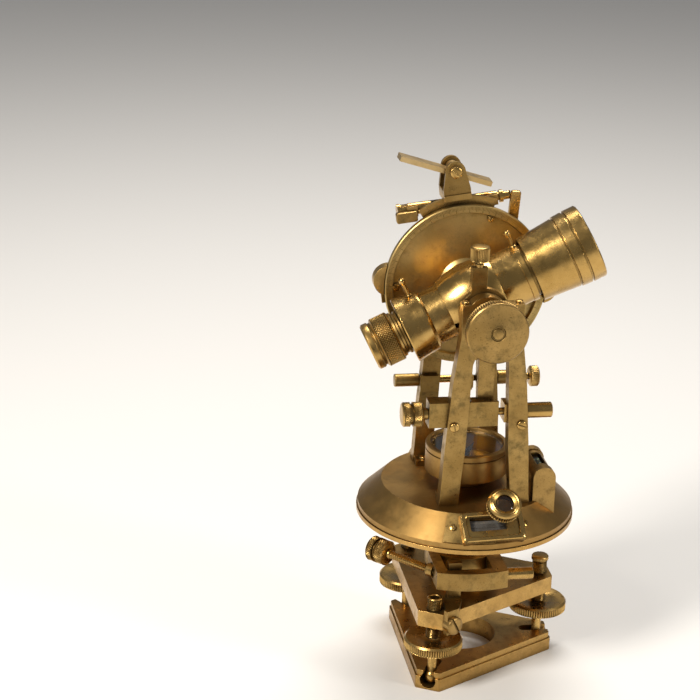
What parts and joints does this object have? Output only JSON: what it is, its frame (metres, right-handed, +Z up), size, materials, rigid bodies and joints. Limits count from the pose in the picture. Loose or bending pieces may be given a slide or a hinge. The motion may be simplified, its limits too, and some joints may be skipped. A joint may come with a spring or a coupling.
{
  "type": "theodolite",
  "caption": "Brass transit theodolite on a three-screw levelling base, with graduated plates, compass, tilting telescope, vertical circle, levels and fine-motion screws.",
  "frame": {"origin": "on the vertical axis at the underside of the base plate, in the tripod hole", "axes": "+Z up along the vertical axis; +Y along the trunnion axis from the focusing knob to the vertical circle; +X towards the side the objective points to"},
  "size_m": [0.1138, 0.1066, 0.2437],
  "materials": {
    "aged_brass": "aged, satin, mottled patina",
    "polished_brass": "worn polish",
    "knurled_brass": "knurled, aged",
    "plate_brass": "browned lacquer",
    "circle_brass": "brushed, mottled",
    "dark_brass": "dark patina",
    "silvered_scale": "tarnished silvering",
    "glass": "clear",
    "steel": "blued steel",
    "mirror": "mirror on brass"
  },
  "bodies": {
    "base": {"base_plate": "aged_brass", "base_lock_plate": "polished_brass"},
    "tribrach": {"tribrach": "aged_brass", "tangent_lug": "aged_brass", "lug_screw": "dark_brass"},
    "foot_screw_a": {"foot_screw_a": "polished_brass"},
    "foot_screw_c": {"foot_screw_c": "polished_brass"},
    "foot_screw_b": {"foot_screw_b": "polished_brass"},
    "foot_screw_b_head": {"foot_screw_b_head": "polished_brass"},
    "lower_clamp": {"lower_clamp_frame": "aged_brass", "lower_spring_barrel": "polished_brass", "lower_spring": "steel"},
    "lower_clamp_screw": {"lower_clamp_screw": "polished_brass"},
    "lower_tangent_screw": {"lower_tangent_screw": "polished_brass"},
    "lower_plunger": {"lower_plunger": "polished_brass"},
    "limb": {"limb": "plate_brass"},
    "alidade": {"upper_plate": "plate_brass", "inner_axis": "polished_brass", "axis_nut": "polished_brass", "vernier_frames": "polished_brass", "verniers": "silvered_scale", "plate_level_case": "dark_brass", "plate_level_vial": "glass", "compass_box": "polished_brass", "compass_dial": "silvered_scale", "compass_glass": "glass", "front_standard": "aged_brass", "rear_standard": "aged_brass", "bearing_caps": "aged_brass", "standard_screws": "dark_brass", "tangent_block": "aged_brass", "front_spring_barrel": "polished_brass", "barrel_springs": "steel", "clip_blocks": "aged_brass"},
    "plate_magnifier": {"plate_magnifier": "polished_brass", "plate_magnifier_lens": "glass"},
    "compass_needle": {"compass_needle": "steel"},
    "telescope_clamp": {"telescope_clamp": "aged_brass"},
    "telescope_clamp_screw": {"telescope_clamp_screw": "knurled_brass"},
    "front_tangent_screw": {"front_tangent_screw": "polished_brass"},
    "front_plunger": {"front_plunger": "polished_brass"},
    "telescope": {"telescope_hub": "polished_brass", "telescope_tube": "polished_brass", "eyepiece_tube": "polished_brass", "reticle": "glass", "sight_pins": "polished_brass", "vertical_circle": "circle_brass"},
    "eyepiece": {"eyepiece": "knurled_brass", "eyepiece_lens": "glass"},
    "draw_tube": {"draw_tube": "polished_brass", "sunshade": "polished_brass", "objective_lens": "glass"},
    "focus_knob": {"focus_knob": "knurled_brass"},
    "index_frame": {"index_frame": "aged_brass", "altitude_level_case": "polished_brass", "altitude_level_vial": "glass", "mirror_bracket": "aged_brass"},
    "mirror": {"mirror": "mirror"},
    "clip_plunger": {"clip_plunger": "polished_brass"},
    "clip_screw": {"clip_screw": "polished_brass"}
  },
  "joints": [
    {"name": "level_tilt", "type": "hinge", "parent": "base", "child": "tribrach", "pos_m": [-0.0195, 0, 0.00465], "axis": [0, 1, 0], "range_deg": [-1.5, 1.5]},
    {"name": "foot_screw_a_turn", "type": "hinge", "parent": "tribrach", "child": "foot_screw_a", "pos_m": [-0.0195, -0.03377, 0.02125], "axis": [0, 0, 1], "range_deg": [-720, 720]},
    {"name": "foot_screw_c_turn", "type": "hinge", "parent": "tribrach", "child": "foot_screw_c", "pos_m": [-0.0195, 0.03377, 0.02125], "axis": [0, 0, 1], "range_deg": [-720, 720]},
    {"name": "foot_screw_b_travel", "type": "slide", "parent": "tribrach", "child": "foot_screw_b", "axis": [0, 0, 1], "range_m": [-0.0016, 0.0016]},
    {"name": "foot_screw_b_turn", "type": "hinge", "parent": "foot_screw_b", "child": "foot_screw_b_head", "pos_m": [0.039, 0, 0.02125], "axis": [0, 0, 1], "range_deg": [-760, 760]},
    {"name": "lower_clamp_swing", "type": "hinge", "parent": "tribrach", "child": "lower_clamp", "pos_m": [0, 0, 0.0525], "axis": [0, 0, 1], "range_deg": [-1.5, 1.5]},
    {"name": "lower_clamp_screw_turn", "type": "hinge", "parent": "lower_clamp", "child": "lower_clamp_screw", "pos_m": [0, 0.02, 0.0525], "axis": [0, 1, 0], "range_deg": [0, 360]},
    {"name": "lower_tangent_screw_turn", "type": "hinge", "parent": "lower_clamp", "child": "lower_tangent_screw", "pos_m": [-0.0156, -0.022, 0.0525], "axis": [-0.6612, 0.7502, 0], "range_deg": [-520, 520]},
    {"name": "lower_plunger_travel", "type": "slide", "parent": "lower_clamp", "child": "lower_plunger", "axis": [1, 0, 0], "range_m": [-0.0012, 0.0012]},
    {"name": "limb_turn", "type": "hinge", "parent": "lower_clamp", "child": "limb", "pos_m": [0, 0, 0.06], "axis": [0, 0, 1], "continuous": true},
    {"name": "alidade_turn", "type": "hinge", "parent": "limb", "child": "alidade", "pos_m": [0, 0, 0.08], "axis": [0, 0, 1], "continuous": true},
    {"name": "plate_magnifier_swing", "type": "hinge", "parent": "alidade", "child": "plate_magnifier", "pos_m": [0.0055, -0.0353, 0.093], "axis": [0, 0, 1], "range_deg": [-25, 12]},
    {"name": "compass_needle_swing", "type": "hinge", "parent": "alidade", "child": "compass_needle", "pos_m": [0, 0, 0.1035], "axis": [0, 0, 1], "continuous": true},
    {"name": "telescope_fine_tilt", "type": "hinge", "parent": "alidade", "child": "telescope_clamp", "pos_m": [0, 0, 0.182], "axis": [0, 1, 0], "range_deg": [-1.5, 1.5]},
    {"name": "telescope_clamp_screw_turn", "type": "hinge", "parent": "telescope_clamp", "child": "telescope_clamp_screw", "pos_m": [-0.003, -0.021, 0.2], "axis": [0, 0, 1], "range_deg": [0, 360]},
    {"name": "front_tangent_screw_turn", "type": "hinge", "parent": "alidade", "child": "front_tangent_screw", "pos_m": [-0.026, -0.0238, 0.1344], "axis": [-1, 0, 0], "range_deg": [-920, 920]},
    {"name": "front_plunger_travel", "type": "slide", "parent": "alidade", "child": "front_plunger", "axis": [1, 0, 0], "range_m": [-0.0018, 0.0018]},
    {"name": "telescope_tilt", "type": "hinge", "parent": "telescope_clamp", "child": "telescope", "pos_m": [0, 0, 0.182], "axis": [0, 1, 0], "continuous": true},
    {"name": "eyepiece_turn", "type": "hinge", "parent": "telescope", "child": "eyepiece", "pos_m": [0, 0, 0.182], "axis": [0.8988, 0, 0.4384], "range_deg": [-180, 180]},
    {"name": "focus_turn", "type": "hinge", "parent": "telescope", "child": "focus_knob", "pos_m": [0, 0, 0.182], "axis": [0, -1, 0], "range_deg": [-24, 154]},
    {"name": "draw_tube_travel", "type": "slide", "parent": "telescope", "child": "draw_tube", "axis": [0.8988, 0, 0.4384], "range_m": [-0.0012, 0.0079]},
    {"name": "index_frame_tilt", "type": "hinge", "parent": "alidade", "child": "index_frame", "pos_m": [0, 0, 0.182], "axis": [0, 1, 0], "range_deg": [-1, 1]},
    {"name": "clip_screw_turn", "type": "hinge", "parent": "alidade", "child": "clip_screw", "pos_m": [0.025, 0.02625, 0.1316], "axis": [1, 0, 0], "range_deg": [-920, 920]},
    {"name": "clip_plunger_travel", "type": "slide", "parent": "alidade", "child": "clip_plunger", "axis": [1, 0, 0], "range_m": [-0.0018, 0.0018]},
    {"name": "mirror_tilt", "type": "hinge", "parent": "index_frame", "child": "mirror", "pos_m": [-0.00718, 0.024, 0.23653], "axis": [0, 1, 0], "range_deg": [-34, 8]}
  ],
  "couplings": [
    {"joint": "foot_screw_b_turn", "follows": "level_tilt", "ratio": 490.09},
    {"joint": "foot_screw_b_travel", "follows": "level_tilt", "m_per_rad": 0.0585},
    {"joint": "lower_tangent_screw_turn", "follows": "lower_clamp_swing", "ratio": 330.5},
    {"joint": "lower_plunger_travel", "follows": "lower_clamp_swing", "m_per_rad": -0.0265},
    {"joint": "front_tangent_screw_turn", "follows": "telescope_fine_tilt", "ratio": 598.16},
    {"joint": "front_plunger_travel", "follows": "telescope_fine_tilt", "m_per_rad": -0.0476},
    {"joint": "focus_turn", "follows": "draw_tube_travel", "rad_per_m": 333.33},
    {"joint": "clip_screw_turn", "follows": "index_frame_tilt", "ratio": 633.35},
    {"joint": "clip_plunger_travel", "follows": "index_frame_tilt", "m_per_rad": -0.0504}
  ]
}
